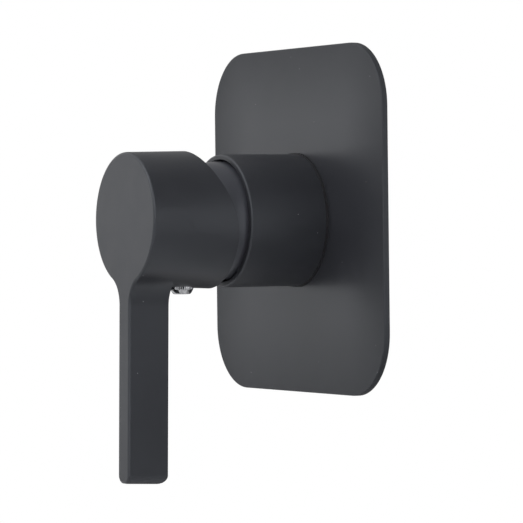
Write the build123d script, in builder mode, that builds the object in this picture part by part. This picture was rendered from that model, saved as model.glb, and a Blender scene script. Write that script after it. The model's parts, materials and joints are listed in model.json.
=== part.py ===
"""Wall-mounted single-lever shower mixer: square wall plate, round sleeve, lever handle,
in-wall valve body and the ceramic disc cartridge that the lever works.

Millimetres. The origin is on the spindle axis in the finished wall's surface.
+X is to the right seen from the room, +Y runs into the wall and +Z is up.
A depth in this file is counted from the wall's surface towards the room.
"""
import os
from math import acos, cos, degrees, radians, sin, sqrt, tan

from build123d import *

os.makedirs("parts", exist_ok=True)

# Wall plate and its foam gasket
plate_width = 120.0
plate_height = 120.0
plate_corner = 22.0
plate_thickness = 2.1
plate_edge = 0.4
plate_hole_gap = 0.5
gasket_thickness = 1.0
gasket_inset = 4.0
gasket_hole_gap = 9.0

# Cartridge: housing, base and discs
housing_radius = 17.4
housing_wall = 2.0
housing_lip = 2.6
shoulder_wall = 1.7
base_thickness = 4.7
base_flange = 1.6
base_peg_radius = 2.0
base_peg_length = 3.0
base_peg_spread = 14.0
base_peg_drop = 11.0
seal_thickness = 1.2
seal_width = 1.2
waterway_radius = 3.5
waterway_edge = 3.4
inlet_angle = 15.5
fixed_disc_thickness = 3.6
moving_disc_thickness = 3.6
moving_disc_radius = 11.0
port_land = 1.0
inlet_port_width = 3.0
inlet_port_start = 16.0
inlet_seal_gap = 1.0
outlet_port_share = 0.48
mixing_pocket_depth = 1.6
mixing_pocket_land = 1.3
mixing_pocket_rim = 1.6

# Cartridge: driver, rotor, pivot pin and stem
driver_thickness = 6.2
driver_socket_floor = 1.0
driver_rail_width = 2.0
driver_rail_height = 1.2
driver_rail_length = 13.0
driver_rail_spread = 15.0
driver_peg_radius = 1.0
driver_peg_length = 1.2
driver_peg_spread = 13.0
driver_peg_drop = 5.0
rotor_flange_radius = 12.6
rotor_flange = 3.1
rotor_drop = 7.1
rotor_neck_radius = 10.5
rotor_head = 2.6
pivot_pin_radius = 1.6
stem_square = 8.0
stem_reach = 25.2
stem_tip_chamfer = 0.6
stem_eye_radius = 4.6
stem_finger = 3.2
stem_toe_width = 5.0
stem_toe_radius = 2.6
stem_arm = 9.5
lift_angle = 25.0

# Cartridge nut and dome cap
nut_wall = 1.5
nut_skirt = 4.5
nut_thread = 2.5
nut_hex = 2.0
dome_wall = 1.45
dome_reach = 7.5

# Sleeve with its rubber base ring and O-rings
sleeve_wall = 2.0
sleeve_length = 29.2
sleeve_edge = 0.8
sleeve_mouth_chamfer = 0.3
base_ring_thickness = 0.8
base_ring_proud = 0.42
o_ring_inset = 5.0
o_ring_groove = 1.1
pivot_lead = 1.2

# Valve body in the wall
neck_wall = 1.55
mouth_rise = 0.5
neck_fillet = 1.5
core_step = 0.4
core_corner = 10.0
core_half = 15.0
core_edge = 1.5
port_depth = 27.0
port_thread_radius = 8.0
port_thread_length = 10.0
passage_radius = 5.0
passage_wall = 2.0
strap_thickness = 5.0
strap_width = 16.0
strap_hole_spacing = 76.0
strap_hole_radius = 2.7
strap_angle = 45.0

# Unions of the inlets and the upper outlet, plug of the unused lower outlet, and their washers
union_length = 17.0
union_hex = 10.0
union_hex_width = 27.0
union_radius = 12.5
union_bore = 9.3
union_bore_length = 15.0
plug_flange_radius = 12.5
plug_flange = 2.5
plug_hex_width = 17.0
plug_hex = 6.0
spigot_length = 9.0
washer_thickness = 1.0
washer_radius = 12.0

# Lever handle and its clamping screw
handle_wall = 2.0
handle_reach = 35.6
handle_face = 3.5
handle_gap = 4.6
handle_draft = 1.8
handle_lean = 1.0
handle_rise = 0.45
cut_start = -9.0
cut_blend = 44.0
cut_angle = 23.0
lever_width = 8.0
lever_depth = 14.8
lever_reach = 90.1
lever_root_fillet = 10.0
lever_tip_radius = 2.8
lever_heel_radius = 3.0
handle_edge = 0.9
hub_radius = 7.0
hub_clearance = 9.2
socket_end_gap = 0.5
boss_wall = 1.25
screw_setback = 21.7
screw_head_radius = 4.0
screw_head_length = 4.8
screw_proud = 2.0
screw_head_chamfer = 0.5
screw_radius = 2.5
screw_key_width = 4.0
screw_key_depth = 2.4

# Clearances
fit_clearance = 0.02
thread_clearance = 0.05
pin_clearance = 0.05
glide_gap = 0.05
seat_clearance = 0.1
side_clearance = 0.1
toe_clearance = 0.15
swing_clearance = 0.6
turn_clearance = 0.3
dome_clearance = 0.8
sleeve_clearance = 0.4

# Radii about the spindle axis, from the cartridge outwards
cavity_radius = housing_radius - housing_wall
fixed_disc_radius = cavity_radius - seat_clearance
chamber_radius = housing_radius + seat_clearance
rotor_seat_radius = rotor_flange_radius + turn_clearance
housing_neck_radius = rotor_seat_radius + housing_wall
housing_lip_radius = rotor_neck_radius + turn_clearance
nut_bore = housing_neck_radius + seat_clearance
nut_skirt_bore = housing_radius + seat_clearance
nut_radius = nut_skirt_bore + nut_wall
mouth_radius = nut_radius + thread_clearance
neck_radius = mouth_radius + neck_wall
dome_radius = mouth_radius + dome_wall
sleeve_bore = max(neck_radius, dome_radius) + sleeve_clearance
sleeve_radius = sleeve_bore + sleeve_wall
handle_bore = dome_radius + handle_rise + dome_clearance
handle_rear_radius = handle_bore + handle_wall
plate_hole = neck_radius + plate_hole_gap
core_width = 2 * (neck_radius + neck_fillet + core_step + core_edge)

# Depths in front of the wall, from the plate to the lift pivot
plate_front = gasket_thickness + plate_thickness
sleeve_back = plate_front + base_ring_thickness
sleeve_front = sleeve_back + sleeve_length
pivot = sleeve_front + pivot_lead

# Depths of the cartridge, from the lift pivot back to the chamber floor
rotor_top = pivot + rotor_head
rotor_bottom = pivot - rotor_drop
rotor_step = rotor_bottom + rotor_flange
driver_top = rotor_bottom - glide_gap
driver_bottom = driver_top - driver_thickness
moving_disc_bottom = driver_bottom - moving_disc_thickness
fixed_disc_top = moving_disc_bottom - glide_gap
fixed_disc_bottom = fixed_disc_top - fixed_disc_thickness
chamber_floor = fixed_disc_bottom - base_thickness
housing_back = chamber_floor + base_flange
housing_shoulder = rotor_bottom + shoulder_wall
housing_ceiling = rotor_step + turn_clearance
housing_front = housing_ceiling + housing_lip
nut_back = housing_shoulder - nut_skirt
mouth_floor = nut_back - mouth_rise
mouth_front = housing_shoulder + mouth_rise
nut_thread_front = mouth_front + nut_thread
nut_front = nut_thread_front + nut_hex
dome_front = pivot + dome_reach

# The toe's travel moves the moving disc from closed to open, half above and half below the axis
disc_travel = stem_arm * sin(radians(lift_angle))
disc_offset = disc_travel / 2

# Ports in the discs: curved inlets below the axis and a round outlet above it, always under the moving disc
port_ring_radius = moving_disc_radius - disc_offset - port_land - inlet_port_width / 2
inlet_seal_half = inlet_port_width / 2 + seal_width + inlet_seal_gap / 2
inlet_port_span = degrees(acos(inlet_seal_half / port_ring_radius)) - inlet_port_start
outlet_port_radius = outlet_port_share * port_ring_radius
outlet_port_rise = port_ring_radius + inlet_port_width / 2 - outlet_port_radius
mixing_pocket_radius = port_ring_radius - inlet_port_width / 2 - mixing_pocket_land
mixing_pocket_rise = moving_disc_radius + disc_offset - mixing_pocket_rim - mixing_pocket_radius

# Depths of the handle, from its face back to its rear edge, and its radii: the drafted cup widens to the rear
handle_front = pivot + handle_reach
handle_back = sleeve_front + handle_gap
handle_slope = tan(radians(handle_draft))
handle_radius = handle_rear_radius - (handle_front - handle_back) * handle_slope
lever_back = handle_front - lever_depth
heel_drop = (lever_depth - lever_heel_radius) * handle_slope
heel_height = lever_heel_radius / cos(radians(handle_draft)) - heel_drop - lever_reach
heel_centre = (lever_back + lever_heel_radius, heel_height)
hub_back = pivot + hub_clearance
stem_front = pivot + stem_reach
screw_depth = handle_front - screw_setback
screw_wall_radius = handle_radius + (handle_front - screw_depth) * handle_slope
screw_head_end = handle_rise - screw_wall_radius - screw_proud
screw_seat = screw_head_end + screw_head_length
boss_radius = screw_head_radius + side_clearance + boss_wall
socket_back = min(hub_back, screw_depth - boss_radius)

# Depths of the valve body behind the wall, and distances of its ports' ends from the spindle axis
core_front = core_half - port_depth
core_back = -core_half - port_depth
port_face = core_width / 2
port_seat = port_face + washer_thickness
port_reach = port_seat + union_length


def facing(depth):
    """Plane parallel to the wall at a depth, with X to the right, Y up and the normal to the room."""
    return Plane(origin=(0, -depth, 0), x_dir=(1, 0, 0), z_dir=(0, -1, 0))


def level(height):
    """Horizontal plane at a height, with the normal down and Y towards the room."""
    return Plane(origin=(0, 0, height), x_dir=(1, 0, 0), z_dir=(0, 0, -1))


# Radius and depth of a turned profile, and depth and height of a side profile
turning = Plane(origin=(0, 0, 0), x_dir=(1, 0, 0), z_dir=(0, 0, -1))
profile = Plane(origin=(0, 0, 0), x_dir=(0, -1, 0), z_dir=(-1, 0, 0))

# The handle sits on the stem slightly raised and leaning: its axis and its side profile
lean_axis = Vector(0, -cos(radians(handle_lean)), sin(radians(handle_lean)))
lean_origin = Vector(0, -pivot, handle_rise) - lean_axis * pivot
lean_profile = Plane(origin=lean_origin, x_dir=lean_axis, z_dir=(-1, 0, 0))


def leaning(depth):
    """Plane across the handle's axis at a depth along it, with X to the right and Y up."""
    return Plane(origin=lean_origin + lean_axis * depth, x_dir=(1, 0, 0), z_dir=lean_axis)


# Ports of the core: hot on the left, cold on the right, outlets above and below
port_centre = (0, port_depth, 0)
hot_port = Plane(origin=port_centre, x_dir=(0, 1, 0), z_dir=(-1, 0, 0))
cold_port = Plane(origin=port_centre, x_dir=(0, 1, 0), z_dir=(1, 0, 0))
upper_port = Plane(origin=port_centre, x_dir=(0, 1, 0), z_dir=(0, 0, 1))
lower_port = Plane(origin=port_centre, x_dir=(0, 1, 0), z_dir=(0, 0, -1))
ports = [hot_port, cold_port, upper_port, lower_port]
unions = {"hot_union": hot_port, "cold_union": cold_port, "outlet_union": upper_port}

# Round waterways under the cartridge in a front view: hot, cold and mixed
waterway_pitch = housing_radius - waterway_edge - seal_width - waterway_radius
inlet_x = waterway_pitch * cos(radians(inlet_angle))
inlet_z = -waterway_pitch * sin(radians(inlet_angle))
inlets = [(-inlet_x, inlet_z), (inlet_x, inlet_z)]
outlet = (0, waterway_pitch)
waterways = inlets + [outlet]

# Centre lines of the curved inlet ports: hot and cold
hot_arc = CenterArc((0, 0), port_ring_radius, 180 + inlet_port_start, inlet_port_span)
cold_arc = CenterArc((0, 0), port_ring_radius, -inlet_port_start, -inlet_port_span)
inlet_arcs = [hot_arc, cold_arc]
outlet_port = (0, outlet_port_rise)
base_pegs = [(-base_peg_spread / 2, -base_peg_drop), (base_peg_spread / 2, -base_peg_drop)]
driver_pegs = [(-driver_peg_spread / 2, -driver_peg_drop), (driver_peg_spread / 2, -driver_peg_drop)]
o_ring_depths = [sleeve_back + o_ring_inset, mouth_floor - o_ring_inset]
o_ring_width = 2 * o_ring_groove
groove_radius = neck_radius - o_ring_groove
o_ring_section = (sleeve_bore - groove_radius) / 2 - fit_clearance
o_ring_centre = (sleeve_bore + groove_radius) / 2


# Valve body: cast core with four ports, a fixing strap and the cartridge chamber in its neck
with BuildPart() as valve_body:
    with BuildSketch(facing(core_back)):
        RectangleRounded(core_width, core_width, core_corner)
    extrude(amount=core_front - core_back)
    fillet(faces().filter_by(Axis.Y).edges(), radius=core_edge)
    with BuildSketch(facing(core_front)):
        Circle(neck_radius)
    extrude(amount=mouth_front - core_front)
    neck_root = edges().filter_by(GeomType.CIRCLE).filter_by_position(Axis.Y, -core_front, -core_front)
    fillet(neck_root.sort_by(SortBy.RADIUS)[-1], radius=neck_fillet)
    with BuildSketch(facing(core_back)):
        SlotCenterToCenter(strap_hole_spacing, strap_width, rotation=strap_angle)
    extrude(amount=strap_thickness)
    # Threaded sockets of the ports, passages behind them and waterways up to the chamber floor
    with BuildSketch(*[port.offset(port_face) for port in ports]):
        Circle(port_thread_radius)
    extrude(amount=-port_thread_length, mode=Mode.SUBTRACT)
    with BuildSketch(*[port.offset(port_face) for port in (hot_port, cold_port)]):
        Circle(passage_radius)
    extrude(amount=passage_radius + passage_wall - port_face, mode=Mode.SUBTRACT)
    with BuildSketch(upper_port, lower_port):
        Circle(passage_radius)
    extrude(amount=port_face, mode=Mode.SUBTRACT)
    with BuildSketch(facing(chamber_floor)):
        with Locations(*inlets):
            Circle(waterway_radius)
    extrude(amount=passage_radius - passage_wall / 2 - port_depth - chamber_floor, mode=Mode.SUBTRACT)
    with BuildSketch(facing(chamber_floor)):
        with Locations(outlet):
            Circle(waterway_radius)
    extrude(amount=-port_depth - chamber_floor, mode=Mode.SUBTRACT)
    with BuildSketch(facing(chamber_floor)):
        with Locations(*base_pegs):
            Circle(base_peg_radius + seat_clearance)
    extrude(amount=-base_peg_length - seat_clearance, mode=Mode.SUBTRACT)
    # Cartridge chamber and the threaded mouth for the nut
    with BuildSketch(facing(chamber_floor)):
        Circle(chamber_radius)
    extrude(amount=mouth_front - chamber_floor, mode=Mode.SUBTRACT)
    with BuildSketch(facing(mouth_floor)):
        Circle(mouth_radius)
    extrude(amount=mouth_front - mouth_floor, mode=Mode.SUBTRACT)
    # O-ring grooves
    with BuildSketch(*[facing(depth - o_ring_width / 2) for depth in o_ring_depths]):
        Circle(neck_radius)
        Circle(groove_radius, mode=Mode.SUBTRACT)
    extrude(amount=o_ring_width, mode=Mode.SUBTRACT)
    # Screw holes through the strap
    with BuildSketch(facing(core_back)):
        with PolarLocations(strap_hole_spacing / 2, 2, start_angle=strap_angle):
            Circle(strap_hole_radius)
    extrude(amount=strap_thickness, mode=Mode.SUBTRACT)
valve_body.part.label = "valve_body"
export_step(valve_body.part, "parts/valve_body.step")

# Unions screwed into the inlets and the upper outlet, with a female thread for the pipe
for union_name, port in unions.items():
    with BuildPart() as union:
        with BuildSketch(port.offset(port_seat)):
            Circle(port_thread_radius - thread_clearance)
        extrude(amount=-spigot_length)
        with BuildSketch(port.offset(port_seat)):
            RegularPolygon(union_hex_width / 2, 6, major_radius=False, rotation=30)
        extrude(amount=union_hex)
        with BuildSketch(port.offset(port_seat + union_hex)):
            Circle(union_radius)
        extrude(amount=union_length - union_hex)
        with BuildSketch(port.offset(port_reach)):
            Circle(union_bore)
        extrude(amount=-union_bore_length, mode=Mode.SUBTRACT)
        with BuildSketch(port.offset(port_reach)):
            Circle(passage_radius)
        extrude(amount=-union_length - spigot_length, mode=Mode.SUBTRACT)
    union.part.label = union_name
    export_step(union.part, f"parts/{union_name}.step")

# Plug that closes the lower outlet
with BuildPart() as outlet_plug:
    with BuildSketch(lower_port.offset(port_seat)):
        Circle(port_thread_radius - thread_clearance)
    extrude(amount=-spigot_length)
    with BuildSketch(lower_port.offset(port_seat)):
        Circle(plug_flange_radius)
    extrude(amount=plug_flange)
    with BuildSketch(lower_port.offset(port_seat + plug_flange)):
        RegularPolygon(plug_hex_width / 2, 6, major_radius=False)
    extrude(amount=plug_hex)
outlet_plug.part.label = "outlet_plug"
export_step(outlet_plug.part, "parts/outlet_plug.step")

# Rubber washers under the plug and the unions
with BuildPart() as plug_washer:
    with BuildSketch(lower_port.offset(port_face)):
        Circle(washer_radius)
        Circle(port_thread_radius, mode=Mode.SUBTRACT)
    extrude(amount=washer_thickness)
plug_washer.part.label = "plug_washer"
export_step(plug_washer.part, "parts/plug_washer.step")

with BuildPart() as union_washers:
    with BuildSketch(*[port.offset(port_face) for port in unions.values()]):
        Circle(washer_radius)
        Circle(port_thread_radius, mode=Mode.SUBTRACT)
    extrude(amount=washer_thickness)
union_washers.part.label = "union_washers"
export_step(union_washers.part, "parts/union_washers.step")

# Wall plate: a flat soft-cornered square with an eased front edge
with BuildPart() as wall_plate:
    with BuildSketch(facing(gasket_thickness)):
        RectangleRounded(plate_width, plate_height, plate_corner)
    extrude(amount=plate_thickness)
    fillet(faces().sort_by(Axis.Y)[0].outer_wire().edges(), radius=plate_edge)
    with BuildSketch(facing(gasket_thickness)):
        Circle(plate_hole)
    extrude(amount=plate_thickness, mode=Mode.SUBTRACT)
wall_plate.part.label = "wall_plate"
export_step(wall_plate.part, "parts/wall_plate.step")

# Foam gasket between the plate and the wall
with BuildPart() as plate_gasket:
    with BuildSketch(facing(0)):
        gasket_width = plate_width - 2 * gasket_inset
        gasket_height = plate_height - 2 * gasket_inset
        RectangleRounded(gasket_width, gasket_height, plate_corner - gasket_inset)
        Circle(plate_hole + gasket_hole_gap, mode=Mode.SUBTRACT)
    extrude(amount=gasket_thickness)
plate_gasket.part.label = "plate_gasket"
export_step(plate_gasket.part, "parts/plate_gasket.step")

# Thin rubber ring that seals the sleeve to the plate
with BuildPart() as sleeve_base_ring:
    with BuildSketch(facing(plate_front)):
        Circle(sleeve_radius + base_ring_proud)
        Circle(sleeve_bore, mode=Mode.SUBTRACT)
    extrude(amount=base_ring_thickness)
sleeve_base_ring.part.label = "sleeve_base_ring"
export_step(sleeve_base_ring.part, "parts/sleeve_base_ring.step")

# Sleeve over the body's neck
with BuildPart() as sleeve:
    with BuildSketch(facing(sleeve_back)):
        Circle(sleeve_radius)
        Circle(sleeve_bore, mode=Mode.SUBTRACT)
    extrude(amount=sleeve_length)
    mouth_edges = edges().filter_by(GeomType.CIRCLE).group_by(Axis.Y)[0].sort_by(SortBy.RADIUS)
    fillet(mouth_edges[-1], radius=sleeve_edge)
    chamfer(mouth_edges[0], length=sleeve_mouth_chamfer)
sleeve.part.label = "sleeve"
export_step(sleeve.part, "parts/sleeve.step")

# Two O-rings in the neck's grooves hold the sleeve
with BuildPart() as sleeve_o_rings:
    with BuildSketch(turning):
        with Locations(*[(o_ring_centre, depth) for depth in o_ring_depths]):
            Circle(o_ring_section)
    revolve(axis=Axis.Y)
sleeve_o_rings.part.label = "sleeve_o_rings"
export_step(sleeve_o_rings.part, "parts/sleeve_o_rings.step")

# Dome cap: a threaded skirt that turns into a spherical band about the lift pivot
with BuildPart() as dome_cap:
    with BuildSketch(turning):
        with BuildLine():
            skirt = Line((mouth_radius, mouth_front), (dome_radius, mouth_front))
            wall = Line(skirt @ 1, (dome_radius, pivot))
            band = ThreePointArc(
                wall @ 1,
                (sqrt(dome_radius**2 - dome_reach**2 / 4), pivot + dome_reach / 2),
                (sqrt(dome_radius**2 - dome_reach**2), dome_front),
            )
            rim = Line(band @ 1, (sqrt(mouth_radius**2 - dome_reach**2), dome_front))
            inside = ThreePointArc(
                rim @ 1,
                (sqrt(mouth_radius**2 - dome_reach**2 / 4), pivot + dome_reach / 2),
                (mouth_radius, pivot),
            )
            Line(inside @ 1, skirt @ 0)
        make_face()
    revolve(axis=Axis.Y)
dome_cap.part.label = "dome_cap"
export_step(dome_cap.part, "parts/dome_cap.step")

# Nut that presses the cartridge into the chamber
with BuildPart() as cartridge_nut:
    with BuildSketch(facing(nut_back)):
        Circle(nut_radius)
    extrude(amount=nut_thread_front - nut_back)
    with BuildSketch(facing(nut_thread_front)):
        RegularPolygon(nut_radius, 6)
    extrude(amount=nut_hex)
    with BuildSketch(facing(nut_back)):
        Circle(nut_skirt_bore)
    extrude(amount=housing_shoulder - nut_back, mode=Mode.SUBTRACT)
    with BuildSketch(facing(housing_shoulder)):
        Circle(nut_bore)
    extrude(amount=nut_front - housing_shoulder, mode=Mode.SUBTRACT)
cartridge_nut.part.label = "cartridge_nut"
export_step(cartridge_nut.part, "parts/cartridge_nut.step")

# Cartridge housing: disc cavity, rotor seat and the lip that keeps the rotor in
with BuildPart() as cartridge_housing:
    with BuildSketch(turning):
        with BuildLine():
            Polyline(
                (cavity_radius, housing_back),
                (housing_radius, housing_back),
                (housing_radius, housing_shoulder),
                (housing_neck_radius, housing_shoulder),
                (housing_neck_radius, housing_front),
                (housing_lip_radius, housing_front),
                (housing_lip_radius, housing_ceiling),
                (rotor_seat_radius, housing_ceiling),
                (rotor_seat_radius, rotor_bottom),
                (cavity_radius, rotor_bottom),
                close=True,
            )
        make_face()
    revolve(axis=Axis.Y)
cartridge_housing.part.label = "cartridge_housing"
export_step(cartridge_housing.part, "parts/cartridge_housing.step")

# Cartridge base: leads the round waterways to the discs' ports, with seal seats on both faces and two pegs
base_middle = chamber_floor + base_thickness / 2
with BuildPart() as cartridge_base:
    with BuildSketch(facing(chamber_floor)):
        Circle(housing_radius)
    extrude(amount=base_flange)
    with BuildSketch(facing(housing_back)):
        Circle(fixed_disc_radius)
    extrude(amount=fixed_disc_bottom - housing_back)
    with BuildSketch(facing(chamber_floor)):
        with Locations(*base_pegs):
            Circle(base_peg_radius)
    extrude(amount=-base_peg_length)
    # Round waterways and their seats in the back half
    with BuildSketch(facing(chamber_floor)):
        with Locations(*waterways):
            Circle(waterway_radius)
    extrude(amount=base_middle - chamber_floor, mode=Mode.SUBTRACT)
    with BuildSketch(facing(chamber_floor)):
        with Locations(*waterways):
            Circle(waterway_radius + seal_width + fit_clearance)
    extrude(amount=seal_thickness, mode=Mode.SUBTRACT)
    # Disc ports and their seats in the front half
    with BuildSketch(facing(fixed_disc_bottom)):
        for arc in inlet_arcs:
            SlotArc(arc, inlet_port_width)
        with Locations(outlet_port):
            Circle(outlet_port_radius)
    extrude(amount=base_middle - fixed_disc_bottom, mode=Mode.SUBTRACT)
    with BuildSketch(facing(fixed_disc_bottom)):
        for arc in inlet_arcs:
            SlotArc(arc, inlet_port_width + 2 * (seal_width + fit_clearance))
        with Locations(outlet_port):
            Circle(outlet_port_radius + seal_width + fit_clearance)
    extrude(amount=-seal_thickness, mode=Mode.SUBTRACT)
cartridge_base.part.label = "cartridge_base"
export_step(cartridge_base.part, "parts/cartridge_base.step")

# Round seals against the chamber floor
with BuildPart() as base_seals:
    with BuildSketch(facing(chamber_floor)):
        with Locations(*waterways):
            Circle(waterway_radius + seal_width)
            Circle(waterway_radius, mode=Mode.SUBTRACT)
    extrude(amount=seal_thickness)
base_seals.part.label = "base_seals"
export_step(base_seals.part, "parts/base_seals.step")

# Seals round the ports under the fixed disc
with BuildPart() as disc_seals:
    with BuildSketch(facing(fixed_disc_bottom)):
        for arc in inlet_arcs:
            SlotArc(arc, inlet_port_width + 2 * seal_width)
            SlotArc(arc, inlet_port_width, mode=Mode.SUBTRACT)
        with Locations(outlet_port):
            Circle(outlet_port_radius + seal_width)
            Circle(outlet_port_radius, mode=Mode.SUBTRACT)
    extrude(amount=-seal_thickness)
disc_seals.part.label = "disc_seals"
export_step(disc_seals.part, "parts/disc_seals.step")

# Fixed ceramic disc with the hot, cold and mixed ports
with BuildPart() as fixed_disc:
    with BuildSketch(facing(fixed_disc_bottom)):
        Circle(fixed_disc_radius)
        for arc in inlet_arcs:
            SlotArc(arc, inlet_port_width, mode=Mode.SUBTRACT)
        with Locations(outlet_port):
            Circle(outlet_port_radius, mode=Mode.SUBTRACT)
    extrude(amount=fixed_disc_thickness)
fixed_disc.part.label = "fixed_disc"
export_step(fixed_disc.part, "parts/fixed_disc.step")

# Moving ceramic disc: closed, its pocket's round end is on the spindle axis and turns clear of both inlets
with BuildPart() as moving_disc:
    with BuildSketch(facing(moving_disc_bottom)):
        with Locations((0, disc_offset)):
            Circle(moving_disc_radius)
    extrude(amount=moving_disc_thickness)
    with BuildSketch(facing(moving_disc_bottom)):
        with Locations((0, mixing_pocket_rise / 2)):
            SlotCenterToCenter(mixing_pocket_rise, 2 * mixing_pocket_radius, rotation=90)
    extrude(amount=mixing_pocket_depth, mode=Mode.SUBTRACT)
    with BuildSketch(facing(driver_bottom)):
        with Locations((0, disc_offset)):
            with Locations(*driver_pegs):
                Circle(driver_peg_radius + pin_clearance)
    extrude(amount=-driver_peg_length - pin_clearance, mode=Mode.SUBTRACT)
moving_disc.part.label = "moving_disc"
export_step(moving_disc.part, "parts/moving_disc.step")

# Driver on the moving disc: a socket for the stem's toe, rails in the rotor and pegs in the disc
socket_width = stem_toe_width + 2 * side_clearance
socket_length = 2 * (stem_toe_radius + toe_clearance)
with BuildPart() as disc_driver:
    with BuildSketch(facing(driver_bottom)):
        with Locations((0, disc_offset)):
            Circle(moving_disc_radius)
    extrude(amount=driver_thickness)
    with BuildSketch(facing(driver_top)):
        with Locations((0, disc_offset)):
            with GridLocations(driver_rail_spread, 0, 2, 1):
                Rectangle(driver_rail_width, driver_rail_length)
    extrude(amount=driver_rail_height)
    with BuildSketch(facing(driver_bottom)):
        with Locations((0, disc_offset)):
            with Locations(*driver_pegs):
                Circle(driver_peg_radius)
    extrude(amount=-driver_peg_length)
    with BuildSketch(facing(driver_bottom + driver_socket_floor)):
        Rectangle(socket_width, socket_length)
    extrude(amount=driver_thickness - driver_socket_floor, mode=Mode.SUBTRACT)
disc_driver.part.label = "disc_driver"
export_step(disc_driver.part, "parts/disc_driver.step")

# Rotor: turns in the housing, holds the pivot pin and lets the stem swing in its slot
slot_width = stem_square + 2 * side_clearance
slot_top = (stem_square / 2 + rotor_head * sin(radians(lift_angle))) / cos(radians(lift_angle))
slot_high = max(slot_top, stem_eye_radius) + swing_clearance
slot_low = max(disc_travel + stem_toe_radius, stem_eye_radius) + swing_clearance
with BuildPart() as rotor:
    with BuildSketch(facing(rotor_bottom)):
        Circle(rotor_flange_radius)
    extrude(amount=rotor_flange)
    with BuildSketch(facing(rotor_step)):
        Circle(rotor_neck_radius)
    extrude(amount=rotor_top - rotor_step)
    with BuildSketch(facing(rotor_bottom)):
        with Locations((0, (slot_high - slot_low) / 2)):
            Rectangle(slot_width, slot_high + slot_low)
    extrude(amount=rotor_top - rotor_bottom, mode=Mode.SUBTRACT)
    with BuildSketch(facing(rotor_bottom)):
        with GridLocations(driver_rail_spread, 0, 2, 1):
            Rectangle(driver_rail_width + 2 * side_clearance, 2 * rotor_flange_radius)
    extrude(amount=driver_rail_height + side_clearance, mode=Mode.SUBTRACT)
    with BuildSketch(profile):
        with Locations((pivot, 0)):
            Circle(pivot_pin_radius + fit_clearance)
    extrude(amount=rotor_neck_radius, both=True, mode=Mode.SUBTRACT)
rotor.part.label = "rotor"
export_step(rotor.part, "parts/rotor.step")

# Pivot pin across the rotor's neck
pin_half_length = sqrt(rotor_neck_radius**2 - pivot_pin_radius**2) - turn_clearance
with BuildPart() as pivot_pin:
    with BuildSketch(profile):
        with Locations((pivot, 0)):
            Circle(pivot_pin_radius)
    extrude(amount=pin_half_length, both=True)
pivot_pin.part.label = "pivot_pin"
export_step(pivot_pin.part, "parts/pivot_pin.step")

# Stem: square bar for the handle, eye on the pivot pin, finger and round toe for the driver
with BuildPart() as stem:
    with BuildSketch(facing(pivot)):
        Rectangle(stem_square, stem_square)
    extrude(amount=stem_reach)
    chamfer(faces().sort_by(Axis.Y)[0].edges(), length=stem_tip_chamfer)
    with BuildSketch(profile):
        with Locations((pivot, 0)):
            Circle(stem_eye_radius)
    extrude(amount=stem_square / 2, both=True)
    with BuildSketch(profile):
        with Locations((pivot - stem_arm, 0)):
            Circle(stem_toe_radius)
            Rectangle(stem_arm, stem_finger, align=(Align.MIN, Align.CENTER))
    extrude(amount=stem_toe_width / 2, both=True)
    with BuildSketch(profile):
        with Locations((pivot, 0)):
            Circle(pivot_pin_radius + pin_clearance)
    extrude(amount=stem_square / 2, both=True, mode=Mode.SUBTRACT)
stem.part.label = "stem"
export_step(stem.part, "parts/stem.step")

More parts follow.
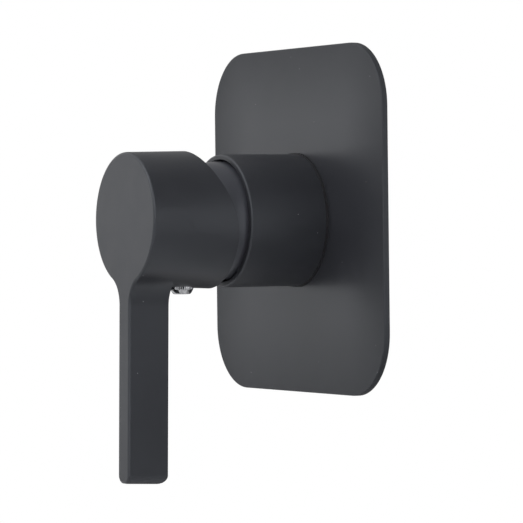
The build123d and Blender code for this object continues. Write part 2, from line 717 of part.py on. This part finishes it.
# Handle: round cup with the lever hanging from its face, cut away behind at the top for the lift
with BuildPart() as handle:
    with BuildSketch(leaning(handle_front)) as keyhole:
        Circle(handle_radius)
        Rectangle(lever_width, lever_reach, align=(Align.CENTER, Align.MAX))
        fillet(keyhole.vertices().group_by(Axis.Y)[-1], radius=lever_root_fillet)
        fillet(keyhole.vertices().group_by(Axis.Y)[0], radius=lever_tip_radius)
    extrude(amount=-lever_depth, taper=-handle_draft)
    with BuildSketch(leaning(handle_front)):
        Circle(handle_radius)
    extrude(amount=handle_back - handle_front, taper=-handle_draft)
    fillet(faces().sort_by(Axis.Y)[0].outer_wire().edges(), radius=handle_edge)
    # Rounded heel of the lever, tangent to its back and to its drafted end
    with BuildSketch(lean_profile):
        with BuildLine():
            heel = CenterArc(heel_centre, lever_heel_radius, 180, 90 + handle_draft)
            behind = heel @ 0 - (lever_heel_radius, 0)
            below = heel @ 1 - (0, lever_heel_radius)
            Polyline(heel @ 1, below, (behind.X, below.Y), behind, heel @ 0)
        make_face()
    extrude(amount=lever_width, both=True, mode=Mode.SUBTRACT)
    # Cup, and the hub with the screw's boss inside it
    with BuildSketch(leaning(handle_back)):
        Circle(handle_bore)
    extrude(amount=handle_front - handle_face - handle_back, taper=handle_draft, mode=Mode.SUBTRACT)
    with BuildSketch(facing(hub_back)):
        Circle(hub_radius)
    extrude(amount=handle_front - handle_face / 2 - hub_back)
    with BuildSketch(level(0)):
        with Locations((0, screw_depth)):
            Circle(boss_radius)
    extrude(amount=screw_wall_radius - handle_rise - handle_wall / 2)
    # Rear cut: straight at the bottom, blending into a slope that leans forward at the top
    with BuildSketch(lean_profile):
        with BuildLine():
            start = Line((handle_back - cut_blend, cut_start), (handle_back, cut_start))
            blend = CenterArc((handle_back + cut_blend, cut_start), cut_blend, 180, -cut_angle)
            slope_height = 2 * handle_rear_radius - (blend @ 1).Y
            slope = Line(blend @ 1, blend @ 1 + (slope_height * tan(radians(cut_angle)), slope_height))
            top = Line(slope @ 1, (handle_back - cut_blend, (slope @ 1).Y))
            Line(top @ 1, start @ 0)
        make_face()
    extrude(amount=handle_rear_radius, both=True, mode=Mode.SUBTRACT)
    # Square socket for the stem, and the screw's hole and head recess
    with BuildSketch(facing(socket_back)):
        Rectangle(stem_square + 2 * side_clearance, stem_square + 2 * side_clearance)
    extrude(amount=stem_front + socket_end_gap - socket_back, mode=Mode.SUBTRACT)
    with BuildSketch(level(0)):
        with Locations((0, screw_depth)):
            Circle(screw_radius + thread_clearance)
    extrude(amount=handle_radius, mode=Mode.SUBTRACT)
    with BuildSketch(level(screw_seat)):
        with Locations((0, screw_depth)):
            Circle(screw_head_radius + side_clearance)
    extrude(amount=screw_head_length, mode=Mode.SUBTRACT)
handle.part.label = "handle"
export_step(handle.part, "parts/handle.step")

# Socket-head screw that clamps the handle on the stem
screw_tip = -stem_square / 2 - fit_clearance
with BuildPart() as handle_screw:
    with BuildSketch(level(screw_tip)):
        with Locations((0, screw_depth)):
            Circle(screw_radius)
    extrude(amount=screw_tip - screw_seat)
    with BuildSketch(level(screw_seat)):
        with Locations((0, screw_depth)):
            Circle(screw_head_radius)
    extrude(amount=screw_head_length)
    head_rim = edges().filter_by(GeomType.CIRCLE).sort_by(Axis.Z)[0]
    chamfer(head_rim, length=screw_head_chamfer)
    with BuildSketch(level(screw_head_end)):
        with Locations((0, screw_depth)):
            RegularPolygon(screw_key_width / 2, 6, major_radius=False)
    extrude(amount=-screw_key_depth, mode=Mode.SUBTRACT)
handle_screw.part.label = "handle_screw"
export_step(handle_screw.part, "parts/handle_screw.step")
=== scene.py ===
"""Dresses the wall-mounted shower mixer: finishes, knurled screw, threaded unions and the studio.

Metres, in the part's own frame: +X to the right, +Y into the wall, +Z up.
"""

import json
from math import cos, pi, radians, sin

import bmesh
import bpy
from mathutils import Matrix, Vector


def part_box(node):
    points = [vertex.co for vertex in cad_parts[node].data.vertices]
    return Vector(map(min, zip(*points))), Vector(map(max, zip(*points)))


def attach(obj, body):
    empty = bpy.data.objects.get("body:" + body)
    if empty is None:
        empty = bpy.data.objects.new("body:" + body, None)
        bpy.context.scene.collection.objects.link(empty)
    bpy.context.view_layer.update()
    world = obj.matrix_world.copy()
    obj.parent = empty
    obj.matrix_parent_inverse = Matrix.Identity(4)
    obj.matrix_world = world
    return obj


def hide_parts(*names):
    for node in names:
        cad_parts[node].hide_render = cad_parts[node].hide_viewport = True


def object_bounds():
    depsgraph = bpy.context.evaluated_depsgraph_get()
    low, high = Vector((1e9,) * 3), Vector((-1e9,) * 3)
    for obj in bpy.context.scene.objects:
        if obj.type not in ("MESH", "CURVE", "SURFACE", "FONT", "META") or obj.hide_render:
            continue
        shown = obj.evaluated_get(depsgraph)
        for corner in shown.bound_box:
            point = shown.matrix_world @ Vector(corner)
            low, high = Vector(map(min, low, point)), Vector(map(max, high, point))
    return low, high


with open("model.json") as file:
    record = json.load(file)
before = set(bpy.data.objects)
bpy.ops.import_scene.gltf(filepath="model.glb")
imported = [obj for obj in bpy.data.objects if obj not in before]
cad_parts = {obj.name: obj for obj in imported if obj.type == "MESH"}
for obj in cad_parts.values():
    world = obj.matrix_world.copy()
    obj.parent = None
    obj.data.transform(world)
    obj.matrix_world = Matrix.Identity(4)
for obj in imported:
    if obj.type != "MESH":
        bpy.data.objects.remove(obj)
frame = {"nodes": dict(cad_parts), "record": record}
cad_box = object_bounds()
mm = 0.001

# Camera of the photograph
image_size = 523
focal_pixels = 3391.96
sensor_width = 36.0
camera_place = Vector((1.03538, -0.58029, -0.00087))
camera_yaw = radians(61.4485)
camera_pitch = radians(0.6513)
camera_roll = radians(-0.668)
camera_near = 0.01
camera_far = 100

# Wall with a recess that the plate hides, and floor below the lever
stage_half = 4.0
wall_gap = 0.4 * mm
wall_colour = (0.8, 0.8, 0.8, 1)
recess_half = 55.5 * mm
recess_corner = 20 * mm
recess_steps = 8
floor_drop = 0.14
floor_dark = (0.81, 0.81, 0.81)
floor_light = (0.83, 0.83, 0.83)
floor_patch = 0.05
floor_grain = 0.02

# Light of the room, and softboxes that aim at the origin
white = (1, 1, 1, 1)
background_level = 1.0
ambient_level = 0.55
softboxes = {
    "key": {"place": (-0.3, -1.7, 1.3), "size": 1.6, "watts": 14},
    "fill": {"place": (1.6, -1.2, 0.6), "size": 1.4, "watts": 8},
}

# The wall in reflections: levels over a span of height, then raised and lowered towards the left
wall_gloss_span = 0.24
wall_gloss = ((0.0, 0.8), (0.15, 0.4), (0.27, 0.34), (0.36, 1.0), (0.64, 1.0), (0.75, 0.45), (1.0, 0.2))
upper_left = (-0.08, -0.14)
upper_left_slope = -1.0
upper_left_gloss = 0.42
lower_left = (-0.045, -0.075)
lower_left_slope = 0.2
lower_left_share = 0.2

# Black powder coat
coat_ior = 1.5
coat_gloss_tint = (0.87, 0.93, 1.0, 1)
coat_tint = (0.97, 1.0, 1.2)
coat_shades = (0.92, 1.08)
coat_patch = 35 * mm
coat_mark = 9 * mm
coat_peel = 0.28 * mm
coat_peel_depth = 0.006 * mm
speck_spacing = 6.5 * mm
speck_reach = (0.018, 0.026)
speck_colour = (0.30, 0.30, 0.31)

# Band round the plate's edge where the coat is duller and its colour is darkened as painted shade
plate_half = 60 * mm
dull_and_shaded_width = 26 * mm
dull_gain = 0.24
# painted shade: share of the coat's level that is left at the plate's edge
painted_edge_shade = 0.7

# Colour sockets of a Mix node, and the angle from which an edge is drawn sharp
mix_first = 6
mix_second = 7
mix_result = 2
sharp_angle = radians(28)

# Clamping screw with a knurled head and a hexagon socket
screw_teeth = 40
points_per_tooth = 4
tooth_depth = 0.22 * mm
knurl_run_out = 0.35 * mm
screw_head_length = 4.8 * mm
screw_rim_length = 1.4 * mm
screw_rim_inset = 1.2 * mm
screw_rim_steps = 6
screw_shank_radius = 2.5 * mm
screw_tip_share = 0.85
screw_tip_length = 0.5 * mm
screw_key_width = 4.0 * mm
screw_key_depth = 2.4 * mm
key_chamfer = 0.25 * mm
key_chamfer_depth = 0.2 * mm
key_cone_share = 0.3
key_cone_depth = 0.4 * mm

# Unions with a half-inch pipe thread
union_segments = 96
union_hex_length = 10.0 * mm
union_hex_width = 27.0 * mm
union_length = 17.0 * mm
union_end_radius = 12.5 * mm
union_chamfer = 1.0 * mm
spigot_radius = 7.95 * mm
passage_radius = 5.0 * mm
thread_crest = 9.3 * mm
thread_depth = 1.1 * mm
thread_pitch = 1.814 * mm
thread_length = 15.0 * mm
thread_steps = 8


def add_node(tree, kind, links=None, values=None, **settings):
    """A shader node with its settings, the values of its sockets and the links into them."""
    made = tree.nodes.new("ShaderNode" + kind)
    for name, value in settings.items():
        setattr(made, name, value)
    for name, value in (values or {}).items():
        made.inputs[name].default_value = value
    for name, socket in (links or {}).items():
        tree.links.new(socket, made.inputs[name])
    return made


def colour_ramp(tree, socket, stops):
    """Colour that runs through stops, each a place between 0 and 1 and a colour."""
    made = add_node(tree, "ValToRGB", {"Fac": socket})
    elements = made.color_ramp.elements
    for place, colour in stops[1:-1]:
        elements.new(place)
    elements[0].position = stops[0][0]
    elements[-1].position = stops[-1][0]
    for element, (place, colour) in zip(elements, stops):
        element.color = (*colour, 1)
    return made.outputs["Color"]


class Finish:
    """A procedural material: a principled shader whose colour, roughness and normal come from textures."""

    def __init__(self, name, metallic=0.0):
        self.material = bpy.data.materials.new(name)
        self.material.use_nodes = True
        self.tree = self.material.node_tree
        self.shader = self.tree.nodes["Principled BSDF"]
        self.shader.inputs["Metallic"].default_value = metallic
        self.place = self.node("TexCoord").outputs["Object"]

    def node(self, kind, links=None, values=None, **settings):
        return add_node(self.tree, kind, links, values, **settings)

    def stretched(self, x, y, z):
        """The place with each axis scaled, for marks that run in one direction."""
        return self.node("Mapping", {"Vector": self.place}, {"Scale": (x, y, z)}).outputs["Vector"]

    def noise(self, size, detail=3.0, place=None):
        """Noise between 0 and 1 whose features are about as large as size."""
        links = {"Vector": place or self.place}
        return self.node("TexNoise", links, {"Scale": 1 / size, "Detail": detail}).outputs["Fac"]

    def cells(self, size):
        """Distance from the nearest of points scattered about size apart, in units of size."""
        return self.node("TexVoronoi", {"Vector": self.place}, {"Scale": 1 / size}).outputs["Distance"]

    def ranged(self, socket, low, high, start=0.3, end=0.7):
        """Low where the socket is at the start, high where it is at the end, and in proportion between."""
        values = {"From Min": start, "From Max": end, "To Min": low, "To Max": high}
        return self.node("MapRange", {"Value": socket}, values).outputs["Result"]

    def ramp(self, socket, *stops):
        return colour_ramp(self.tree, socket, stops)

    def blend(self, factor, first, second):
        """The first colour, a socket, turning into the second, a fixed colour, as the factor rises to 1."""
        links = {0: factor, mix_first: first}
        made = self.node("Mix", links, {mix_second: (*second, 1)}, data_type="RGBA")
        return made.outputs[mix_result]

    def set(self, colour, roughness, height=None, depth=None):
        """The finished material. Height is a relief whose depth is given in metres."""
        self.tree.links.new(colour, self.shader.inputs["Base Color"])
        self.tree.links.new(roughness, self.shader.inputs["Roughness"])
        if height:
            bump = self.node("Bump", {"Height": height}, {"Strength": 1.0, "Distance": depth})
            self.tree.links.new(bump.outputs["Normal"], self.shader.inputs["Normal"])
        return self.material


def satin_black(name="satin_black", level=0.0245, smooth=0.40, rough=0.46, dull=None):
    """Powder coat: very fine peel, faint handling marks in the gloss and a few specks of dust. With dull, a
    band of painted shade also darkens the colour where the gloss is duller.
    """
    finish = Finish(name)
    finish.shader.inputs["IOR"].default_value = coat_ior
    finish.shader.inputs["Specular Tint"].default_value = coat_gloss_tint
    shades = (*coat_shades, painted_edge_shade)
    dark, light, painted_edge_tone = ([level * share * tint for tint in coat_tint] for share in shades)
    tone = finish.ramp(finish.noise(coat_patch), (0.35, dark), (0.65, light))
    gloss = finish.ranged(finish.noise(coat_mark, detail=5.0), smooth, rough)
    # painted shade: the coat's colour darkens towards the plate's edge, and its roughness rises there
    if dull:
        edge = dull(finish)
        tone = finish.blend(edge, tone, painted_edge_tone)
        raised = finish.node("Math", {0: edge, 2: gloss}, {1: dull_gain}, operation="MULTIPLY_ADD")
        gloss = raised.outputs[0]
    speck = finish.ranged(finish.cells(speck_spacing), 1.0, 0.0, *speck_reach)
    colour = finish.blend(speck, tone, speck_colour)
    return finish.set(colour, gloss, finish.noise(coat_peel, detail=2.0), coat_peel_depth)


def near_plate_edge(finish):
    """Mask of the painted edge shade and the duller gloss: 0 in the middle of the plate, rising to 1 at its
    rounded outline.
    """
    core = [plate_half - dull_and_shaded_width] * 3
    sides = finish.node("VectorMath", {0: finish.place}, operation="ABSOLUTE").outputs[0]
    over = finish.node("VectorMath", {0: sides}, {1: core}, operation="SUBTRACT").outputs[0]
    kept = finish.node("VectorMath", {0: over}, {1: (0, 0, 0)}, operation="MAXIMUM").outputs[0]
    reach = finish.node("VectorMath", {0: kept}, operation="LENGTH").outputs["Value"]
    return finish.ranged(reach, 0.0, 1.0, 0.0, dull_and_shaded_width)


def black_rubber():
    """Moulded rubber with a dull bloom."""
    finish = Finish("black_rubber")
    bloom = finish.noise(4 * mm, detail=4.0)
    colour = finish.ramp(bloom, (0.35, (0.004, 0.004, 0.006)), (0.7, (0.008, 0.008, 0.011)))
    gloss = finish.ranged(finish.noise(1.5 * mm), 0.6, 0.78)
    return finish.set(colour, gloss, finish.noise(0.2 * mm), depth=0.01 * mm)


def grey_foam():
    """Closed-cell foam sheet with its cut pores."""
    finish = Finish("grey_foam")
    pores = finish.cells(0.7 * mm)
    colour = finish.ramp(pores, (0.1, (0.055, 0.055, 0.058)), (0.6, (0.13, 0.13, 0.135)))
    gloss = finish.ranged(finish.noise(2 * mm), 0.8, 0.95)
    return finish.set(colour, gloss, pores, depth=0.12 * mm)


def cast_brass():
    """Sand-cast brass: grainy skin, darker where it has tarnished."""
    finish = Finish("cast_brass", metallic=1.0)
    tarnish = finish.noise(11 * mm, detail=8.0)
    stops = (0.2, (0.50, 0.34, 0.15)), (0.5, (0.60, 0.42, 0.19)), (0.8, (0.67, 0.49, 0.23))
    colour = finish.ramp(tarnish, *stops)
    gloss = finish.ranged(tarnish, 0.52, 0.38)
    return finish.set(colour, gloss, finish.noise(0.55 * mm, detail=4.0), depth=0.09 * mm)


def turned_brass(name, along):
    """Brass from the lathe: fine tool marks round the axis along which the piece is turned."""
    finish = Finish(name, metallic=1.0)
    squeeze = [1.0 if axis == along else 0.02 for axis in "xyz"]
    marks = finish.noise(0.11 * mm, detail=2.0, place=finish.stretched(*squeeze))
    tarnish = finish.noise(5 * mm, detail=5.0)
    colour = finish.ramp(tarnish, (0.3, (0.60, 0.42, 0.18)), (0.7, (0.75, 0.56, 0.28)))
    return finish.set(colour, finish.ranged(marks, 0.22, 0.34), marks, depth=0.01 * mm)


def chrome_steel():
    """Chromed screw, duller and darker where it is smeared."""
    finish = Finish("chrome_steel", metallic=1.0)
    smear = finish.noise(0.8 * mm, detail=4.0)
    colour = finish.ramp(smear, (0.3, (0.30, 0.30, 0.32)), (0.6, (0.55, 0.56, 0.58)))
    gloss = finish.ranged(smear, 0.22, 0.09)
    return finish.set(colour, gloss, finish.noise(0.15 * mm), depth=0.003 * mm)


def pin_steel():
    """Ground pin with marks round its axis."""
    finish = Finish("pin_steel", metallic=1.0)
    marks = finish.noise(0.08 * mm, detail=2.0, place=finish.stretched(1.0, 0.03, 0.03))
    colour = finish.ramp(marks, (0.3, (0.52, 0.52, 0.54)), (0.7, (0.66, 0.66, 0.68)))
    return finish.set(colour, finish.ranged(marks, 0.2, 0.32), marks, depth=0.004 * mm)


def moulded_plastic(name, dark, light):
    """Injection-moulded plastic with flow streaks and a fine matte texture."""
    finish = Finish(name)
    streaks = finish.noise(6 * mm, place=finish.stretched(1.0, 0.3, 1.0))
    colour = finish.ramp(streaks, (0.3, dark), (0.7, light))
    gloss = finish.ranged(finish.noise(2.5 * mm), 0.36, 0.5)
    return finish.set(colour, gloss, finish.noise(0.18 * mm), depth=0.006 * mm)


def disc_ceramic():
    """Lapped alumina: near white with a fine grain, glossy."""
    finish = Finish("disc_ceramic")
    grain = finish.noise(0.25 * mm, detail=5.0)
    colour = finish.ramp(grain, (0.3, (0.72, 0.71, 0.67)), (0.7, (0.84, 0.83, 0.80)))
    gloss = finish.ranged(finish.noise(1.2 * mm), 0.12, 0.2)
    return finish.set(colour, gloss, grain, depth=0.002 * mm)


def loft(name, rings):
    """Mesh through rings of equal length, each a list of points, with both ends closed."""
    mesh = bmesh.new()
    rows = [[mesh.verts.new(point) for point in ring] for ring in rings]
    count = len(rows[0])
    for low, high in zip(rows, rows[1:]):
        for i in range(count):
            j = (i + 1) % count
            mesh.faces.new((low[i], low[j], high[j], high[i]))
    mesh.faces.new(reversed(rows[0]))
    mesh.faces.new(rows[-1])
    bmesh.ops.recalc_face_normals(mesh, faces=mesh.faces)
    data = bpy.data.meshes.new(name)
    mesh.to_mesh(data)
    mesh.free()
    data.shade_smooth()
    data.set_sharp_from_angle(angle=sharp_angle)
    piece = bpy.data.objects.new(name, data)
    bpy.context.scene.collection.objects.link(piece)
    return piece


def round_of(radius):
    """The radius of a circle, as a function of the angle."""
    return lambda angle: radius


def hexagon(width, angle):
    """Radius of a hexagon of a width across its flats, at an angle."""
    return width / 2 / cos((angle + pi / 6) % (pi / 3) - pi / 6)


def knurled_screw():
    """Socket-head screw in the place of the plain one, head down."""
    low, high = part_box("handle_screw")
    axis_x = (low.x + high.x) / 2
    axis_y = (low.y + high.y) / 2
    head_radius = (high.x - low.x) / 2
    rim_radius = head_radius - tooth_depth
    seat = low.z + screw_head_length
    rim = low.z + screw_rim_length
    socket_end = low.z + screw_key_depth
    count = points_per_tooth * screw_teeth
    angles = [2 * pi * i / count for i in range(count)]

    def ring(height, radius):
        return [Vector((axis_x + radius(a) * cos(a), axis_y + radius(a) * sin(a), height)) for a in angles]

    def knurl(a):
        return head_radius - tooth_depth * (0.5 - 0.5 * cos(a * screw_teeth))

    def key(a):
        return hexagon(screw_key_width, a)

    rings = [
        ring(high.z, round_of(screw_shank_radius * screw_tip_share)),
        ring(high.z - screw_tip_length, round_of(screw_shank_radius)),
        ring(seat, round_of(screw_shank_radius)),
        ring(seat, round_of(head_radius - 2 * tooth_depth)),
        ring(seat - 2 * tooth_depth, knurl),
        ring(rim + knurl_run_out, knurl),
        ring(rim, round_of(rim_radius)),
    ]
    for step in range(1, screw_rim_steps + 1):
        share = step / screw_rim_steps
        drop = screw_rim_length * (1 - (1 - share) ** 2)
        rings.append(ring(rim - drop, round_of(rim_radius - screw_rim_inset * share)))
    rings += [
        ring(low.z, lambda a: key(a) + key_chamfer),
        ring(low.z + key_chamfer_depth, key),
        ring(socket_end, key),
        ring(socket_end + key_cone_depth, lambda a: key(a) * key_cone_share),
    ]
    piece = loft("knurled_screw", rings)
    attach(piece, "lever")
    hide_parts("handle_screw")
    return piece


def threaded_union(node, port):
    """Union in the place of the plain one, with a female pipe thread. The port points outwards."""
    low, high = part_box(node)
    centre = (low + high) / 2
    half = abs((high - low).dot(port)) / 2
    start = centre - port * half
    end = centre + port * half
    seat = end - port * union_length
    hex_end = seat + port * union_hex_length
    ease = port * union_chamfer
    across = Vector((0, 1, 0))
    upright = port.cross(across)
    angles = [2 * pi * i / union_segments for i in range(union_segments)]

    def ring(point, radius):
        return [point + across * (radius(a) * cos(a)) + upright * (radius(a) * sin(a)) for a in angles]

    def nut(a):
        return hexagon(union_hex_width, a)

    def chamfered_nut(a):
        return min(nut(a), union_hex_width / 2)

    def thread(depth):
        def radius(a):
            turn = (depth / thread_pitch + a / (2 * pi)) % 1.0
            lead = min(1.0, depth / thread_pitch, (thread_length - depth) / thread_pitch)
            return thread_crest + thread_depth * lead * (1 - abs(2 * turn - 1))
        return radius

    rings = [
        ring(start, round_of(passage_radius)),
        ring(start, round_of(spigot_radius - union_chamfer / 2)),
        ring(start + ease / 2, round_of(spigot_radius)),
        ring(seat, round_of(spigot_radius)),
        ring(seat, chamfered_nut),
        ring(seat + ease, nut),
        ring(hex_end - ease, nut),
        ring(hex_end, chamfered_nut),
        ring(hex_end, round_of(union_end_radius)),
        ring(end - ease / 2, round_of(union_end_radius)),
        ring(end, round_of(union_end_radius - union_chamfer / 2)),
        ring(end, round_of(thread_crest)),
    ]
    steps = round(thread_length / thread_pitch * thread_steps)
    for step in range(1, steps + 1):
        depth = thread_length * step / steps
        rings.append(ring(end - port * depth, thread(depth)))
    rings.append(ring(end - port * thread_length, round_of(passage_radius)))
    piece = loft("threaded_" + node, rings)
    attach(piece, "fixed")
    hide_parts(node)
    return piece


def stage_plane(name, corners, faces):
    """A flat mesh that belongs to the stage and not to the part."""
    data = bpy.data.meshes.new(name)
    data.from_pydata(corners, [], faces)
    plane = bpy.data.objects.new(name, data)
    bpy.context.scene.collection.objects.link(plane)
    return plane


def mixed(tree, factor, first, second):
    """The first shader at factor 0, the second at factor 1."""
    return add_node(tree, "MixShader", {0: factor, 1: first, 2: second}).outputs[0]


def combined(tree, operation, first, second):
    return add_node(tree, "Math", {0: first, 1: second}, operation=operation).outputs[0]


def seen_directly(tree):
    """1 for rays that show the background, straight or by way of gloss or glass, and 1 for gloss alone."""
    path = add_node(tree, "LightPath")
    seen = path.outputs["Is Camera Ray"]
    for name in ("Is Glossy Ray", "Is Transmission Ray"):
        seen = combined(tree, "MAXIMUM", seen, path.outputs[name])
    return seen, path.outputs["Is Glossy Ray"]


def slanted(tree, point, slope, ends, levels):
    """A level that changes towards the left of the wall, along a line that leans with the height."""
    links = {0: point.outputs["Z"], 2: point.outputs["X"]}
    along = add_node(tree, "Math", links, {1: slope}, operation="MULTIPLY_ADD").outputs[0]
    values = {"From Min": ends[0], "From Max": ends[1], "To Min": levels[0], "To Max": levels[1]}
    return add_node(tree, "MapRange", {"Value": along}, values).outputs["Result"]


def recessed_wall():
    """Flat wall round a recess with rounded corners."""
    core = recess_half - recess_corner
    inner = []
    for quarter, (side_x, side_z) in enumerate(((1, 1), (-1, 1), (-1, -1), (1, -1))):
        for step in range(recess_steps + 1):
            turn = (quarter + step / recess_steps) * pi / 2
            x = side_x * core + recess_corner * cos(turn)
            z = side_z * core + recess_corner * sin(turn)
            inner.append((x, wall_gap, z))
    outer = []
    for x, y, z in inner:
        grow = stage_half / max(abs(x), abs(z))
        outer.append((x * grow, y, z * grow))
    count = len(inner)
    faces = []
    for i in range(count):
        j = (i + 1) % count
        faces.append((i, i + count, j + count, j))
    return stage_plane("studio_wall", inner + outer, faces)


def studio_wall():
    """The finished wall: white from the room, graded in reflections, open from behind to show the body."""
    wall = recessed_wall()
    material = bpy.data.materials.new("studio_wall")
    material.use_nodes = True
    tree = material.node_tree
    tree.nodes.clear()
    geometry = add_node(tree, "NewGeometry")
    point = add_node(tree, "SeparateXYZ", {0: geometry.outputs["Position"]})
    ends = {"From Min": -wall_gloss_span / 2, "From Max": wall_gloss_span / 2}
    height = add_node(tree, "MapRange", {"Value": point.outputs["Z"]}, ends).outputs["Result"]
    fall = colour_ramp(tree, height, [(place, [level] * 3) for place, level in wall_gloss])
    rise = slanted(tree, point, upper_left_slope, upper_left, (0.0, upper_left_gloss))
    share = slanted(tree, point, lower_left_slope, lower_left, (1.0, lower_left_share))
    graded = combined(tree, "MAXIMUM", combined(tree, "MULTIPLY", fall, share), rise)
    mirrored = add_node(tree, "Emission", {"Strength": graded}).outputs[0]
    plain = add_node(tree, "BsdfDiffuse", values={"Color": wall_colour}).outputs[0]
    bright = add_node(tree, "Emission", values={"Strength": background_level}).outputs[0]
    clear = add_node(tree, "BsdfTransparent").outputs[0]
    seen, gloss = seen_directly(tree)
    front = mixed(tree, seen, plain, mixed(tree, gloss, bright, mirrored))
    both = mixed(tree, geometry.outputs["Backfacing"], front, clear)
    add_node(tree, "OutputMaterial", {"Surface": both})
    wall.data.materials.append(material)


def studio_floor():
    """Pale floor under the part, with a faint grain, open from below."""
    height = cad_box[0].z - floor_drop
    low = -stage_half
    high = stage_half
    corners = [(low, low, height), (high, low, height), (high, high, height), (low, high, height)]
    floor = stage_plane("studio_floor", corners, [(0, 1, 2, 3)])
    finish = Finish("studio_floor")
    colour = finish.ramp(finish.noise(floor_patch), (0.3, floor_dark), (0.7, floor_light))
    gloss = finish.ranged(finish.noise(floor_grain), 0.7, 0.8)
    floor.data.materials.append(finish.set(colour, gloss))
    facing = finish.node("NewGeometry").outputs["Backfacing"]
    clear = finish.node("BsdfTransparent").outputs[0]
    both = mixed(finish.tree, facing, finish.shader.outputs[0], clear)
    finish.tree.links.new(both, finish.tree.nodes["Material Output"].inputs["Surface"])


def studio_world():
    """The room: white where it is seen, dimmer as light on the part."""
    world = bpy.data.worlds.new("studio")
    bpy.context.scene.world = world
    world.use_nodes = True
    tree = world.node_tree
    tree.nodes.clear()
    rooms = []
    for level in (ambient_level, background_level):
        made = add_node(tree, "Background", values={"Strength": level, "Color": white})
        rooms.append(made.outputs[0])
    add_node(tree, "OutputWorld", {"Surface": mixed(tree, seen_directly(tree)[0], *rooms)})


def softbox(name, place, size, watts):
    """Square area lamp that aims at the origin."""
    light = bpy.data.lights.new(name, "AREA")
    light.shape = "RECTANGLE"
    light.size = size
    light.size_y = size
    light.energy = watts
    lamp = bpy.data.objects.new(name, light)
    lamp.location = place
    lamp.rotation_euler = (-Vector(place)).to_track_quat("-Z", "Y").to_euler()
    bpy.context.scene.collection.objects.link(lamp)


def photograph_camera():
    """Camera with the place, turn and focal length that were fitted to the photograph."""
    level = cos(camera_pitch)
    forward = Vector((-sin(camera_yaw) * level, cos(camera_yaw) * level, -sin(camera_pitch)))
    right = Vector((cos(camera_yaw), sin(camera_yaw), 0))
    up = right.cross(forward)
    rolled_right = right * cos(camera_roll) + up * sin(camera_roll)
    rolled_up = up * cos(camera_roll) - right * sin(camera_roll)
    data = bpy.data.cameras.new("camera")
    data.sensor_width = sensor_width
    data.lens = focal_pixels / image_size * sensor_width
    data.clip_start = camera_near
    data.clip_end = camera_far
    camera = bpy.data.objects.new("camera", data)
    turn = Matrix((rolled_right, rolled_up, -forward)).transposed().to_4x4()
    camera.matrix_world = Matrix.Translation(camera_place) @ turn
    bpy.context.scene.collection.objects.link(camera)
    bpy.context.scene.camera = camera


# Finishes of the slots, of the pieces that are turned rather than cast, and of three black pieces
finishes = {
    "satin_black": satin_black(),
    "black_rubber": black_rubber(),
    "grey_foam": grey_foam(),
    "cast_brass": cast_brass(),
    "chrome_steel": chrome_steel(),
    "pin_steel": pin_steel(),
    "white_plastic": moulded_plastic("white_plastic", (0.66, 0.66, 0.63), (0.74, 0.74, 0.72)),
    "blue_plastic": moulded_plastic("blue_plastic", (0.075, 0.16, 0.36), (0.11, 0.21, 0.44)),
    "disc_ceramic": disc_ceramic(),
}
turned = {axis: turned_brass("turned_brass_" + axis, axis) for axis in "xyz"}
own_finishes = {
    "cartridge_nut": turned["y"],
    "stem": turned["y"],
    "outlet_plug": turned["z"],
    # painted light: the dome cap is a lighter copy of the black coat, at twice its base level, so it reads
    # brighter
    "dome_cap": satin_black("polished_black_painted_light", level=0.050, smooth=0.28, rough=0.32),
    "handle": satin_black("handle_black", smooth=0.34, rough=0.40),
    # the plate's coat is darkened towards its edge as painted shade
    "wall_plate": satin_black("plate_black", level=0.025, smooth=0.275, rough=0.305, dull=near_plate_edge),
}
for part in frame["record"]["subparts"]:
    node = part["node"]
    materials = frame["nodes"][node].data.materials
    materials.clear()
    materials.append(own_finishes.get(node, finishes[part["material_slot"]]))

# Pieces that replace plain solids
screw = knurled_screw()
screw.data.materials.append(finishes["chrome_steel"])

union_ports = {
    "hot_union": ("x", (-1, 0, 0)),
    "cold_union": ("x", (1, 0, 0)),
    "outlet_union": ("z", (0, 0, 1)),
}
for node, (axis, port) in union_ports.items():
    union = threaded_union(node, Vector(port))
    union.data.materials.append(turned[axis])

# Studio and camera
studio_wall()
studio_floor()
studio_world()
for name, lamp in softboxes.items():
    softbox(name, **lamp)
photograph_camera()
bpy.context.scene.view_settings.view_transform = "Standard"
